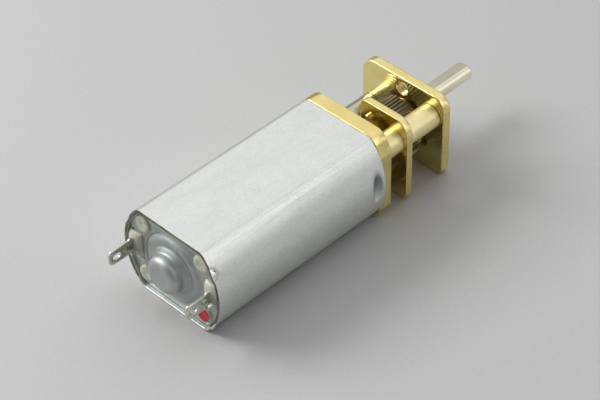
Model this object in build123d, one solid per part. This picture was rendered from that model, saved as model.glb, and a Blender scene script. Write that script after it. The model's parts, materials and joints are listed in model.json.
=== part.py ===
from build123d import *
from math import cos, sin, tan, radians, degrees, atan2, sqrt, acos, pi
import os

# Small brushed DC gearmotor: a flat-sided motor can with a brass spur gearbox on its front.
# Frame: +X along the output shaft, away from the motor; +Z up; origin on the shaft axis
# at the gearbox's front face, midway between its two mounting holes. All in millimetres.

# --- motor can ---
CAN_WIDTH = 15.5
CAN_HEIGHT = 12.0
CAN_FLAT = 10.4
CAN_LENGTH = 27.0
CAN_WALL = 0.35
CAN_CREASE = 1.2
CAN_FRONT_RADIUS = 0.2
CAN_NOSE_RADIUS = 3.0
CAN_NOSE_LENGTH = 1.3
DIMPLE_WIDTH = 1.6
DIMPLE_HEIGHT = 4.6
DIMPLE_DEPTH = 0.32
DIMPLE_FROM_FRONT = 1.6
DIMPLE_Z = 0.4
CRIMP_RADIUS = 0.55

# --- motor rear end ---
END_PLATE_RECESS = 0.5
END_PLATE_THICKNESS = 0.8
END_PLATE_GAP = 0.05
STEP_RADIUS = 4.1
STEP_HEIGHT = 0.25
GROOVE_RADIUS = 4.6
BOSS_RADIUS = 2.45
BOSS_LENGTH = 2.0
BOSS_BORE = 1.85
CUTOUT_Y = 5.05
CUTOUT_HALF_Z = 2.0
STAKE_Y = 4.75
STAKE_Z = 3.8
STAKE_HEAD_RADIUS = 1.12
STAKE_SHANK_RADIUS = 0.7
STAKE_HEAD_HEIGHT = 0.32
HOLDER_THICKNESS = 1.4
TERMINAL_Y = 6.3
TERMINAL_THICKNESS = 0.3
TERMINAL_HEIGHT = 2.0
TERMINAL_REACH = 3.7

# --- rotor ---
MOTOR_SHAFT_RADIUS = 0.75
MOTOR_TAIL_RADIUS = 0.5
CORE_RADIUS = 4.7
CORE_LENGTH = 14.0
MAGNET_INNER_RADIUS = 5.05
MAGNET_LENGTH = 17.0
COMMUTATOR_RADIUS = 1.6
RUNNING_GAP = 0.02

# --- gearbox plates ---
PLATE_NEAR_Y = -6.7
PLATE_BOTTOM_Z = -6.0
REAR_PLATE_THICKNESS = 1.9
REAR_PLATE_WIDTH = 13.5
MIDDLE_PLATE_THICKNESS = 1.0
MIDDLE_PLATE_TOP_Z = 5.7
FRONT_PLATE_THICKNESS = 1.3
FRONT_PLATE_FAR_Y = 6.5
FRONT_PLATE_TOP_Z = 5.45
FRONT_PLATE_EDGE_RADIUS = 0.4
GEARBOX_LENGTH = 12.3
MIDDLE_PLATE_FRONT = -6.65
MOUNT_HOLE_RADIUS = 0.875
MOUNT_HOLE_SPACING = 8.0

# --- posts, pins and screws: (y, z) places across the gearbox ---
NEAR_POST = (-4.64, 2.4)
FAR_POST = (4.85, -1.3)
POST_RADIUS = 1.6
POST_BORE = 0.85
SCREW_RADIUS = 0.8
SCREW_HEAD_RADIUS = 1.4
SCREW_HEAD_HEIGHT = 0.7
MOTOR_SCREW_Z = 4.2
IDLER_PIN_RADIUS = 0.4
SMALL_PIN = (-0.6, 3.7)
SMALL_PIN_RADIUS = 0.42

# --- gear train: two equal stages, out to the idler pin and back to the shaft line ---
MODULE = 0.15
PINION_TEETH = 12
WHEEL_TEETH = 39
PRESSURE_ANGLE = 20.0
PROFILE_SHIFT = 0.3
FLANK_RELIEF = 0.013
IDLER_WHEEL_WIDTH = 0.8
OUTPUT_WHEEL_WIDTH = 2.6
OUTPUT_WHEEL_FRONT = -1.9
WHEEL_SEAT_RADIUS = 0.72
PIN_BORE = 0.43

# --- output shaft ---
SHAFT_RADIUS = 1.25
SHAFT_LENGTH = 10.4
FLAT_DEPTH = 0.33
FLAT_START = 0.6
FLAT_TILT = 15.0
RELIEF_RADIUS = 1.08
RELIEF_LENGTH = 0.5
JOURNAL_RADIUS = 0.75
FRONT_BUSH_RADIUS = 2.0
FRONT_BUSH_STAND = 0.3

# --- places along the shaft line, worked out from the sizes above ---
CAN_FRONT = -GEARBOX_LENGTH
CAN_REAR = CAN_FRONT - CAN_LENGTH
REAR_PLATE_FRONT = CAN_FRONT + REAR_PLATE_THICKNESS
MIDDLE_PLATE_REAR = MIDDLE_PLATE_FRONT - MIDDLE_PLATE_THICKNESS
FRONT_PLATE_REAR = -FRONT_PLATE_THICKNESS
END_PLATE_REAR = CAN_REAR + END_PLATE_RECESS
END_PLATE_FRONT = END_PLATE_REAR + END_PLATE_THICKNESS
HOLDER_FRONT = END_PLATE_FRONT + HOLDER_THICKNESS
BOSS_REAR = END_PLATE_REAR - STEP_HEIGHT - BOSS_LENGTH
CORE_FRONT = CAN_FRONT - 6.0
CORE_REAR = CORE_FRONT - CORE_LENGTH
MOTOR_SHAFT_REAR = BOSS_REAR + 0.65
MOTOR_SHAFT_STEP = CAN_FRONT + 1.25
MOTOR_SHAFT_FRONT = REAR_PLATE_FRONT + 0.85

CENTRE_DISTANCE = MODULE * (PINION_TEETH + WHEEL_TEETH) / 2
IDLER_Y = -2.6
IDLER_PIN = (IDLER_Y, -sqrt(CENTRE_DISTANCE**2 - IDLER_Y**2))
IDLER_ANGLE = degrees(atan2(IDLER_PIN[1], IDLER_PIN[0]))
SHAFT_LINE = (0.0, 0.0)
IDLER_WHEEL_REAR = REAR_PLATE_FRONT + 0.2
IDLER_WHEEL_FRONT = IDLER_WHEEL_REAR + IDLER_WHEEL_WIDTH


def slab(section, start, end):
    """A flat section in the Y-Z plane, drawn out along X from start to end."""
    return Pos(start, 0, 0) * extrude(Plane.YZ * section, end - start, dir=(1, 0, 0))


def rod(start, end, radius, place=SHAFT_LINE):
    """A round bar along X at the (y, z) place."""
    return slab(Pos(*place) * Circle(radius), start, end)


def tube(start, end, outer, inner, place=SHAFT_LINE):
    """A round bar along X with a through bore."""
    return slab(Pos(*place) * (Circle(outer) - Circle(inner)), start, end)


def cone(start, end, start_radius, end_radius, place=SHAFT_LINE):
    """A frustum along X, used for countersinks and screw heads."""
    frustum = Cone(start_radius, end_radius, end - start, align=(Align.CENTER, Align.CENTER, Align.MIN))
    return Pos(start, *place) * Rot(0, 90, 0) * frustum


def ends(solid, axis_place):
    """The edges that lie at one place along X, for rounding the end of a bar."""
    return [e for e in solid.edges() if abs(e.center().X - axis_place) < 1e-4]


def can_section(inset=0.0, crease=CAN_CREASE):
    """The can's outline: flat top and bottom, arced sides, soft creases between them."""
    half_height = CAN_HEIGHT / 2 - inset
    half_width = CAN_WIDTH / 2 - inset
    flat = CAN_FLAT / 2 - 0.4 * inset
    outline = [
        Line((-flat, half_height), (flat, half_height)),
        ThreePointArc((flat, half_height), (half_width, 0), (flat, -half_height)),
        Line((flat, -half_height), (-flat, -half_height)),
        ThreePointArc((-flat, -half_height), (-half_width, 0), (-flat, half_height)),
    ]
    face = make_face(outline)
    return fillet(face.vertices(), crease)


def motor_can():
    shell = slab(can_section(), CAN_REAR, CAN_FRONT)
    shell = fillet(ends(shell, CAN_FRONT), CAN_FRONT_RADIUS)
    shell += rod(CAN_FRONT - 0.2, CAN_FRONT + CAN_NOSE_LENGTH, CAN_NOSE_RADIUS)
    shell -= slab(can_section(CAN_WALL), CAN_REAR - 1, CAN_FRONT - CAN_WALL)
    shell -= rod(CAN_FRONT - 2, CAN_FRONT + 2, 2.0)
    for z in (-MOTOR_SCREW_Z, MOTOR_SCREW_Z):
        shell -= rod(CAN_FRONT - 2, CAN_FRONT + 1, SCREW_RADIUS, (0, z))
    for side in (-1, 1):
        dent = scale(Sphere(1), by=(DIMPLE_WIDTH / 2, 1.0, DIMPLE_HEIGHT / 2))
        dent_y = side * (CAN_WIDTH / 2 + 1.0 - DIMPLE_DEPTH)
        shell -= Pos(CAN_FRONT - DIMPLE_FROM_FRONT, dent_y, DIMPLE_Z) * dent
    for y, z in crimp_places():
        shell -= Pos(CAN_REAR, y, z) * Rot(degrees(atan2(z, y)), 0, 0) * crimp_cutter()
        shell += Pos(CAN_REAR, y, z) * Rot(degrees(atan2(z, y)), 0, 0) * crimp_tab()
    return shell


def crimp_places():
    """Where the rim is staked over the end plate, just outside each crease."""
    y = CAN_WIDTH / 2 - 1.0
    z = CAN_HEIGHT / 2 - 2.3
    return [(side_y * y, side_z * z) for side_y in (-1, 1) for side_z in (-1, 1)]


def crimp_cutter():
    """The half-round bite that the staking punch leaves in the rim."""
    return Rot(90, 0, 90) * Cylinder(CRIMP_RADIUS, 1.6)


def crimp_tab():
    """The sheared lip of the rim, pressed inward against the end plate."""
    return Pos(0.36, -0.35, 0) * Box(0.26, 0.9, 2 * CRIMP_RADIUS - 0.1)


def front_bearing():
    return tube(CAN_FRONT - 1.1, CAN_FRONT + CAN_NOSE_LENGTH, 2.0, MOTOR_SHAFT_RADIUS + RUNNING_GAP)


def rear_bearing():
    return tube(BOSS_REAR + 0.45, END_PLATE_REAR + 0.1, BOSS_BORE, MOTOR_SHAFT_RADIUS + RUNNING_GAP)


def cutout_section(grow=0.0):
    """The two side windows of the end plate, where the plastic brush holder shows."""
    reach = 4.0
    window = Rectangle(reach, 2 * (CUTOUT_HALF_Z + grow))
    place = CUTOUT_Y - grow + reach / 2
    return Pos(-place, 0) * window + Pos(place, 0) * window


def stake_places():
    return [(y, z) for y in (-STAKE_Y, STAKE_Y) for z in (-STAKE_Z, STAKE_Z)]


def end_plate():
    step_rear = END_PLATE_REAR - STEP_HEIGHT
    step = rod(step_rear, END_PLATE_REAR + 0.1, STEP_RADIUS)
    step = fillet(ends(step, step_rear), 0.2)
    boss = rod(BOSS_REAR, step_rear + 0.1, BOSS_RADIUS)
    boss = fillet(ends(boss, BOSS_REAR), 0.7)
    skirt = cone(step_rear - 0.3, step_rear + 0.05, BOSS_RADIUS, BOSS_RADIUS + 0.55)
    plate = slab(can_section(CAN_WALL + END_PLATE_GAP), END_PLATE_REAR, END_PLATE_FRONT)
    plate = plate + step + boss + skirt
    plate -= tube(END_PLATE_REAR - 0.05, END_PLATE_REAR + 0.1, GROOVE_RADIUS, GROOVE_RADIUS - 0.18)
    plate -= slab(cutout_section(), END_PLATE_REAR - 1, END_PLATE_FRONT + 1)
    plate -= rod(BOSS_REAR + 0.45, END_PLATE_FRONT + 1, BOSS_BORE)
    for place in stake_places():
        plate -= rod(END_PLATE_REAR - 1, END_PLATE_FRONT + 1, STAKE_SHANK_RADIUS, place)
    return plate


def terminal_slot(side):
    """The blade's own space, cut out of the plastic that grips it."""
    blade = Box(8.0, TERMINAL_THICKNESS, TERMINAL_HEIGHT)
    return Pos(CAN_REAR + 0.5, side * TERMINAL_Y, 0) * blade


def brush_holder():
    fit = can_section(CAN_WALL + END_PLATE_GAP)
    body = slab(fit, END_PLATE_FRONT, HOLDER_FRONT)
    windows = fit & cutout_section(-0.05)
    body += slab(windows, END_PLATE_REAR - 0.2, END_PLATE_FRONT)
    seat_width = 1.0
    arm_seat = Rectangle(seat_width, 5.2)
    seat_y = TERMINAL_Y + (seat_width - TERMINAL_THICKNESS) / 2
    seats = Pos(-seat_y, 0) * arm_seat + Pos(seat_y, 0) * arm_seat
    body += slab(fit & seats, HOLDER_FRONT, HOLDER_FRONT + 1.6)
    for place in stake_places():
        head = rod(END_PLATE_REAR - STAKE_HEAD_HEIGHT, END_PLATE_REAR, STAKE_HEAD_RADIUS, place)
        head = fillet(ends(head, END_PLATE_REAR - STAKE_HEAD_HEIGHT), 0.2)
        body += head & slab(fit, END_PLATE_REAR - 1, END_PLATE_REAR)
        body += rod(END_PLATE_REAR - 0.05, END_PLATE_FRONT, STAKE_SHANK_RADIUS, place)
    body -= rod(END_PLATE_FRONT - 1, HOLDER_FRONT + 2, 2.1)
    for side in (-1, 1):
        body -= terminal_slot(side)
    return body


def terminal(side):
    """A flat solder blade with an oval hole and a small folded tab at its root."""
    rear = CAN_REAR - TERMINAL_REACH
    front = HOLDER_FRONT + 0.6
    length = front - rear
    blade = Box(length, TERMINAL_THICKNESS, TERMINAL_HEIGHT)
    blade = Pos(rear + length / 2, side * TERMINAL_Y, 0) * blade
    tip = [e for e in blade.edges() if abs(e.center().X - rear) < 1e-4 and abs(e.center().Z) > 0.5]
    blade = chamfer(tip, 0.35)
    hole = extrude(Plane.XZ * SlotOverall(1.45, 0.95), 4, both=True)
    blade -= Pos(CAN_REAR - 2.5, side * TERMINAL_Y, -0.05) * hole
    tab = Box(0.75, 0.65, 0.25)
    blade += Pos(CAN_REAR - 0.75, side * (TERMINAL_Y + 0.3), -0.35) * tab
    return blade


def brush(side):
    """A springy leaf from one terminal that bears on the commutator's edge."""
    inner = COMMUTATOR_RADIUS + RUNNING_GAP
    leaf = Polygon((6.15, 1.5), (6.15, 1.75), (1.2, inner + 0.16), (-1.3, inner + 0.14),
                   (-1.3, inner), (1.2, inner), align=None)
    finger = slab(leaf, HOLDER_FRONT + 0.2, HOLDER_FRONT + 1.3)
    foot = Pos(HOLDER_FRONT + 0.55, TERMINAL_Y - 0.21, 1.0) * Box(0.9, 0.12, 1.3)
    arm = finger + foot
    return arm if side > 0 else Rot(180, 0, 0) * arm


def magnet(side):
    """An arc magnet that lies against the can's side wall."""
    start = CORE_FRONT + (MAGNET_LENGTH - CORE_LENGTH) / 2 - MAGNET_LENGTH
    wall = can_section(CAN_WALL + END_PLATE_GAP, crease=0.4)
    window = Pos(side * 6.5, 0) * Rectangle(7.0, 8.2)
    return slab((wall & window) - Circle(MAGNET_INNER_RADIUS), start, start + MAGNET_LENGTH)


def motor_shaft():
    bar = rod(MOTOR_SHAFT_REAR, MOTOR_SHAFT_STEP, MOTOR_SHAFT_RADIUS)
    return bar + rod(MOTOR_SHAFT_STEP, MOTOR_SHAFT_FRONT, MOTOR_TAIL_RADIUS)


def pole_angles():
    return [90 + 120 * i for i in range(3)]


def armature_core():
    """Three-pole lamination stack."""
    section = Circle(1.9)
    for angle in pole_angles():
        neck = Pos(2.2, 0) * Rectangle(4.2, 1.7)
        shoe = (Circle(CORE_RADIUS) - Circle(4.0)) & Polygon((0, 0), (8, 8), (8, -8), align=None)
        section += Rot(0, 0, angle) * (neck + shoe)
    section -= Circle(MOTOR_SHAFT_RADIUS)
    return slab(section, CORE_REAR, CORE_FRONT)


def windings():
    """One coil round each pole, standing out past both ends of the stack."""
    coils = []
    for angle in pole_angles():
        outer = Pos(2.75, 0) * Rectangle(1.3, 3.7)
        inner = Pos(2.75, 0) * Rectangle(1.4, 1.7)
        coil = slab(Rot(0, 0, angle) * outer, CORE_REAR - 1.1, CORE_FRONT + 1.1)
        coil -= slab(Rot(0, 0, angle) * inner, CORE_REAR, CORE_FRONT)
        coils.append(coil)
    return coils


def commutator_start():
    return HOLDER_FRONT - 0.2


def commutator():
    """Three copper segments with a slit between each pair."""
    start = commutator_start()
    ring = Circle(COMMUTATOR_RADIUS) - Circle(COMMUTATOR_RADIUS - 0.3)
    slit = Pos(COMMUTATOR_RADIUS, 0) * Rectangle(1.4, 0.2)
    for angle in pole_angles():
        ring -= Rot(0, 0, angle) * slit
    return slab(ring, start, start + 2.0).solids()


def commutator_sleeve():
    start = commutator_start()
    sleeve = tube(start, start + 2.0, COMMUTATOR_RADIUS - 0.3, MOTOR_SHAFT_RADIUS)
    return sleeve + tube(start + 2.0, start + 2.5, COMMUTATOR_RADIUS + 0.5, MOTOR_SHAFT_RADIUS)


def thrust_washers():
    """A washer on the rotor shaft just inside each bearing."""
    front = CAN_FRONT - 1.15
    rear = END_PLATE_REAR + 0.15
    return [
        tube(front - 0.3, front, 1.4, MOTOR_SHAFT_RADIUS),
        tube(rear, rear + 0.3, 1.4, MOTOR_SHAFT_RADIUS),
    ]


def polar(radius, angle):
    return (radius * cos(angle), radius * sin(angle))


def involute_spread(radius, base):
    """How far an involute has turned from the base circle's start, in radians."""
    roll = sqrt(max((radius / base) ** 2 - 1, 0.0))
    return roll - acos(min(base / radius, 1.0))


def tooth(centre, half_angle, root, base, tip):
    """One tooth's edges: a short radial foot, an involute flank, the tip land and back."""
    radii = (base, (base + tip) / 2, tip)
    rising = [polar(r, centre - half_angle + involute_spread(r, base)) for r in radii]
    falling = [polar(r, centre + half_angle - involute_spread(r, base)) for r in reversed(radii)]
    return [
        Line(polar(root, centre - half_angle), rising[0]),
        ThreePointArc(*rising),
        ThreePointArc(rising[-1], polar(tip, centre), falling[0]),
        ThreePointArc(*falling),
        Line(falling[-1], polar(root, centre + half_angle)),
    ]


def gear_outline(teeth, shift, tooth_angle):
    """An involute spur outline with one tooth centred on tooth_angle, in degrees."""
    pitch = MODULE * teeth / 2
    base = pitch * cos(radians(PRESSURE_ANGLE))
    tip = pitch + MODULE * (1 + shift)
    root = pitch - MODULE * (1.25 - shift)
    slope = tan(radians(PRESSURE_ANGLE))
    half_at_pitch = (pi / 2 + 2 * shift * slope) / teeth - FLANK_RELIEF / pitch
    half_at_base = half_at_pitch + slope - radians(PRESSURE_ANGLE)
    step = 2 * pi / teeth
    edges = []
    for i in range(teeth):
        centre = radians(tooth_angle) + i * step
        edges += tooth(centre, half_at_base, root, base, tip)
        foot = polar(root, centre + half_at_base)
        valley = polar(root, centre + step / 2)
        next_foot = polar(root, centre + step - half_at_base)
        edges.append(ThreePointArc(foot, valley, next_foot))
    return make_face(edges)


def pinion(start, end, bore, place, toward):
    """A pinion with a tooth pointing toward the wheel that it drives."""
    outline = gear_outline(PINION_TEETH, PROFILE_SHIFT, toward)
    return slab(Pos(*place) * (outline - Circle(bore)), start, end)


def wheel(start, end, bore, place, toward):
    """A wheel with a tooth gap pointing toward the pinion that drives it."""
    outline = gear_outline(WHEEL_TEETH, -PROFILE_SHIFT, toward + 180 / WHEEL_TEETH)
    return slab(Pos(*place) * (outline - Circle(bore)), start, end)


def motor_pinion():
    start = REAR_PLATE_FRONT - 0.5
    return pinion(start, IDLER_WHEEL_FRONT, MOTOR_TAIL_RADIUS, SHAFT_LINE, IDLER_ANGLE)


def idler_wheel():
    toward = IDLER_ANGLE + 180
    return wheel(IDLER_WHEEL_REAR, IDLER_WHEEL_FRONT, WHEEL_SEAT_RADIUS, IDLER_PIN, toward)


def idler_pinion():
    """A long pinion with a turned seat at its rear end, on which the idler wheel is pressed."""
    end = OUTPUT_WHEEL_FRONT - 0.1
    seat = tube(IDLER_WHEEL_REAR, IDLER_WHEEL_FRONT, WHEEL_SEAT_RADIUS, PIN_BORE, IDLER_PIN)
    return seat + pinion(IDLER_WHEEL_FRONT, end, PIN_BORE, IDLER_PIN, IDLER_ANGLE + 180)


def output_wheel():
    start = OUTPUT_WHEEL_FRONT - OUTPUT_WHEEL_WIDTH
    return wheel(start, OUTPUT_WHEEL_FRONT, SHAFT_RADIUS, SHAFT_LINE, IDLER_ANGLE)


def output_shaft():
    """A stepped shaft: a thin journal behind, and a D-shaped nose in front of a turned relief."""
    journal = rod(MIDDLE_PLATE_REAR - 0.3, MIDDLE_PLATE_FRONT + 0.05, JOURNAL_RADIUS)
    bar = rod(MIDDLE_PLATE_FRONT + 0.05, SHAFT_LENGTH, SHAFT_RADIUS)
    bar = chamfer(ends(bar, SHAFT_LENGTH), 0.25)
    flat_length = SHAFT_LENGTH - FLAT_START
    cutter = Box(flat_length + 2, 4, 2)
    cutter = Pos(FLAT_START + flat_length / 2 + 1, 0, SHAFT_RADIUS - FLAT_DEPTH + 1) * cutter
    bar -= tube(FLAT_START - RELIEF_LENGTH, FLAT_START, SHAFT_RADIUS + 1, RELIEF_RADIUS)
    return journal + bar - Rot(-FLAT_TILT, 0, 0) * cutter


def output_washer():
    rear = FRONT_PLATE_REAR - FRONT_BUSH_STAND - 0.27
    return tube(rear, rear + 0.24, FRONT_BUSH_RADIUS, SHAFT_RADIUS)


def front_bush():
    """A plain bronze bush pressed into the front plate: proud of its rear face, flush in front."""
    rear = FRONT_PLATE_REAR - FRONT_BUSH_STAND
    return tube(rear, 0, FRONT_BUSH_RADIUS, SHAFT_RADIUS + RUNNING_GAP)


def rear_plate_section():
    """Straight sides, broad upper corners inside the can's arcs and smaller lower ones."""
    half_width = REAR_PLATE_WIDTH / 2
    top = CAN_HEIGHT / 2
    upper = [(half_width - 1.25, top), (half_width, top - 2.2)]
    lower = [(half_width, PLATE_BOTTOM_Z + 1.4), (half_width - 1.15, PLATE_BOTTOM_Z)]
    right = upper + lower
    left = [(-y, z) for y, z in reversed(right)]
    face = Polygon(*right, *left, align=None)
    face = fillet([v for v in face.vertices() if v.Y > 0], 2.0)
    return fillet([v for v in face.vertices() if v.Y < PLATE_BOTTOM_Z + 2], 1.2)


def rear_plate():
    plate = slab(rear_plate_section(), CAN_FRONT, REAR_PLATE_FRONT)
    plate -= rod(CAN_FRONT - 1, CAN_FRONT + CAN_NOSE_LENGTH + 0.1, CAN_NOSE_RADIUS + 0.03)
    plate -= rod(CAN_FRONT, REAR_PLATE_FRONT + 1, 1.6)
    for place in (NEAR_POST, FAR_POST):
        plate -= rod(CAN_FRONT + 0.5, REAR_PLATE_FRONT + 1, SCREW_RADIUS, place)
    plate -= rod(CAN_FRONT + 0.5, REAR_PLATE_FRONT + 1, IDLER_PIN_RADIUS, IDLER_PIN)
    for z in (-MOTOR_SCREW_Z, MOTOR_SCREW_Z):
        plate -= rod(CAN_FRONT - 1, REAR_PLATE_FRONT + 1, SCREW_RADIUS, (0, z))
        plate -= screw_head(REAR_PLATE_FRONT, (0, z))
    return plate


def corner(face, y, z, radius):
    """Rounds the corner of a flat section nearest to the (y, z) place."""
    nearest = min(face.vertices(), key=lambda v: abs(v.X - y) + abs(v.Y - z))
    return fillet([nearest], radius)


def middle_plate():
    """A part-width plate: cut away on the far side, where the long post passes."""
    near, top, bottom = PLATE_NEAR_Y, MIDDLE_PLATE_TOP_Z, PLATE_BOTTOM_Z
    outline = Polygon((near, top), (0.85, top), (0.85, 2.6), (2.4, 1.5), (2.4, bottom),
                      (near, bottom), align=None)
    outline = corner(outline, near, top, 2.1)
    outline = corner(outline, near, bottom, 1.2)
    outline = corner(outline, 0.85, top, 0.8)
    plate = slab(outline, MIDDLE_PLATE_REAR, MIDDLE_PLATE_FRONT)
    plate -= rod(-9, -6, JOURNAL_RADIUS + RUNNING_GAP)
    plate -= rod(-9, -6, POST_BORE, NEAR_POST)
    plate -= rod(-9, -6, 1.35, IDLER_PIN)
    plate -= rod(-9, -6, SMALL_PIN_RADIUS, SMALL_PIN)
    return plate


def front_plate_section():
    near, far = PLATE_NEAR_Y, FRONT_PLATE_FAR_Y
    top, bottom = FRONT_PLATE_TOP_Z, PLATE_BOTTOM_Z
    outline = Polygon((near, top), (far, top), (far, bottom), (near, bottom), align=None)
    for y in (near, far):
        outline = corner(outline, y, top, 1.9)
        outline = corner(outline, y, bottom, 1.0)
    return outline


def front_plate():
    plate = slab(front_plate_section(), FRONT_PLATE_REAR, 0)
    plate = fillet(ends(plate, 0), FRONT_PLATE_EDGE_RADIUS)
    plate -= rod(-2, 1, FRONT_BUSH_RADIUS)
    for side in (-1, 1):
        plate -= rod(-2, 1, MOUNT_HOLE_RADIUS, (0, side * MOUNT_HOLE_SPACING / 2))
    for place in (NEAR_POST, FAR_POST):
        plate -= rod(-2, 1, SCREW_RADIUS, place)
        plate -= screw_head(0, place)
    plate -= rod(FRONT_PLATE_REAR - 1, -0.4, IDLER_PIN_RADIUS, IDLER_PIN)
    return plate


def screw_head(face, place):
    """The conical space of a countersunk head, flush with the face at X = face."""
    return cone(face - SCREW_HEAD_HEIGHT, face, SCREW_RADIUS, SCREW_HEAD_RADIUS, place)


def flush_screw(face, tip, place):
    """A slotted countersunk screw, its head flush with the face at X = face."""
    screw = screw_head(face, place)
    screw += rod(tip, face - SCREW_HEAD_HEIGHT, SCREW_RADIUS, place)
    slot = Box(0.6, 4, 0.35)
    return screw - Pos(face, *place) * Rot(35, 0, 0) * slot


def assembly_screws():
    return [flush_screw(0, CAN_FRONT + 0.6, place) for place in (NEAR_POST, FAR_POST)]


def motor_screws():
    tip = CAN_FRONT - CAN_WALL - 0.2
    return [flush_screw(REAR_PLATE_FRONT, tip, (0, z)) for z in (-MOTOR_SCREW_Z, MOTOR_SCREW_Z)]


def post(start, end, place):
    return tube(start, end, POST_RADIUS, POST_BORE, place)


def idler_pin():
    return rod(CAN_FRONT + 0.5, -0.4, IDLER_PIN_RADIUS, IDLER_PIN)


def small_pin():
    """A short riveted pin near the middle plate's top edge."""
    rear = MIDDLE_PLATE_REAR - 0.45
    pin = rod(rear, MIDDLE_PLATE_FRONT + 0.1, SMALL_PIN_RADIUS, SMALL_PIN)
    return fillet(ends(pin, rear), 0.15)


def write(name, shape):
    """One STEP file for each named piece; several like solids become one group."""
    if isinstance(shape, (list, ShapeList)):
        shape = Compound(children=list(shape))
    export_step(shape, f"parts/{name}.step")


def motor_pieces():
    return {
        "motor_can": motor_can(),
        "end_plate": end_plate(),
        "brush_holder": brush_holder(),
        "terminal_left": terminal(1),
        "terminal_right": terminal(-1),
        "brush_left": brush(1),
        "brush_right": brush(-1),
        "rear_bearing": rear_bearing(),
        "front_bearing": front_bearing(),
        "magnet_left": magnet(1),
        "magnet_right": magnet(-1),
        "motor_shaft": motor_shaft(),
        "armature_core": armature_core(),
        "windings": windings(),
        "commutator": commutator(),
        "commutator_sleeve": commutator_sleeve(),
        "thrust_washers": thrust_washers(),
        "motor_pinion": motor_pinion(),
    }


def gearbox_pieces():
    return {
        "rear_plate": rear_plate(),
        "middle_plate": middle_plate(),
        "front_plate": front_plate(),
        "short_post": post(REAR_PLATE_FRONT, MIDDLE_PLATE_REAR, NEAR_POST),
        "upper_post": post(MIDDLE_PLATE_FRONT, FRONT_PLATE_REAR, NEAR_POST),
        "long_post": post(REAR_PLATE_FRONT, FRONT_PLATE_REAR, FAR_POST),
        "assembly_screws": assembly_screws(),
        "motor_screws": motor_screws(),
        "idler_pin": idler_pin(),
        "small_pin": small_pin(),
        "idler_wheel": idler_wheel(),
        "idler_pinion": idler_pinion(),
        "output_wheel": output_wheel(),
        "output_shaft": output_shaft(),
        "output_washer": output_washer(),
        "front_bush": front_bush(),
    }


os.makedirs("parts", exist_ok=True)
for name, shape in {**motor_pieces(), **gearbox_pieces()}.items():
    write(name, shape)
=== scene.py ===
import json
from math import asin, atan2, cos, degrees, hypot, pi, radians, sin, sqrt

import bpy
import bmesh
from mathutils import Matrix, Vector


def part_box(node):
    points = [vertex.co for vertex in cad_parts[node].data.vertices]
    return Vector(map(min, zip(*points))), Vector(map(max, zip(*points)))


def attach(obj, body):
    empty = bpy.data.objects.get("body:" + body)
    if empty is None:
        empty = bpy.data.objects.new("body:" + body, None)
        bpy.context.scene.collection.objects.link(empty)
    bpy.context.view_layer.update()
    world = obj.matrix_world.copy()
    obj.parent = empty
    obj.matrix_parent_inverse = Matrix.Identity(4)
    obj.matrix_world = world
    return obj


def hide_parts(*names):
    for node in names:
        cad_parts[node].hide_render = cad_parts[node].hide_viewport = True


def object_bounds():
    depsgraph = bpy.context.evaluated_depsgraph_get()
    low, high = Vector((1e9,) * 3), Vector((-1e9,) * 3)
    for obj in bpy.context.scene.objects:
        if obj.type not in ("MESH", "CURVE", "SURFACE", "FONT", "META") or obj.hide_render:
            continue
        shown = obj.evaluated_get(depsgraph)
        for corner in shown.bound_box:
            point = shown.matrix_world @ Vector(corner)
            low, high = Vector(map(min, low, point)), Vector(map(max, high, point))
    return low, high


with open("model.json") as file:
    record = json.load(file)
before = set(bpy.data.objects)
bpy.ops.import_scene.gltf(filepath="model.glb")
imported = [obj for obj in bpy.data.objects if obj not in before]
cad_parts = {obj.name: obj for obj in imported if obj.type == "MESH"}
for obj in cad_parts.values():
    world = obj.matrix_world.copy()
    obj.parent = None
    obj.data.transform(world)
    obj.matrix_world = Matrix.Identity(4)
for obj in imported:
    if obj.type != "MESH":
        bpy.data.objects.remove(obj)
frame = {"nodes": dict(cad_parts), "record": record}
CAD_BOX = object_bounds()
MM = 0.001


def place_mm(node):
    """A CAD node's lowest and highest corners, in millimetres."""
    low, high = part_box(node)
    return low / MM, high / MM


CAN_FRONT = place_mm("rear_plate")[0].x
DIMPLE_X = CAN_FRONT - 1.35

# ---------------------------------------------------------------- materials

def set_stops(ramp, stops):
    """Gives a colour ramp its stops: (place, grey level or colour)."""
    elements = ramp.color_ramp.elements
    while len(elements) < len(stops):
        elements.new(0.5)
    for element, (at, value) in zip(elements, stops):
        element.position = at
        grey = isinstance(value, (int, float))
        element.color = (value, value, value, 1) if grey else (*value, 1)


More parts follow.
